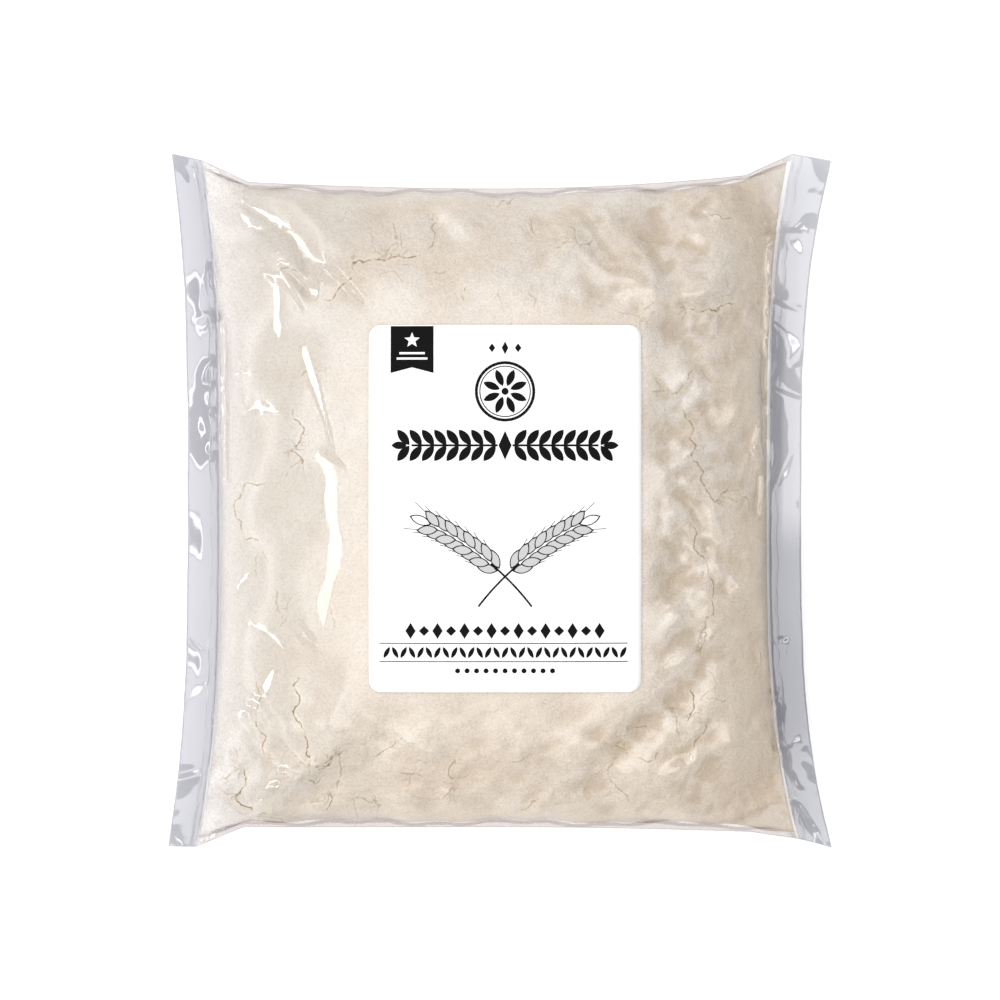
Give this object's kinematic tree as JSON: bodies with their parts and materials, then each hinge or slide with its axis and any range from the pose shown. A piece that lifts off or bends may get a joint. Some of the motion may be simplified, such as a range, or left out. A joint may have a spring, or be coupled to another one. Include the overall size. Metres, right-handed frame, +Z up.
{
  "type": "bag of flour",
  "caption": "Clear film pillow bag of wheat flour lying on its back, with flat heat-sealed fins at its ends, filled-out corner ears and a rounded rectangular label on its upper face.",
  "frame": {"origin": "on the surface the bag lies on, under the middle of its bounding box", "axes": "+Z up, out of the labelled face; +Y towards the label's upper edge; +X towards the right heat seal as the label is read"},
  "size_m": [0.2305, 0.2408, 0.0513],
  "materials": {
    "film": "clear, glossy, thin polyethylene film, creased and heat-sealed",
    "flour": null,
    "label": "smooth, coated white self-adhesive label paper",
    "label_ink": "flat black printing ink on the label"
  },
  "bodies": {
    "root": {"bag": "flour", "label": "label"}
  },
  "joints": []
}
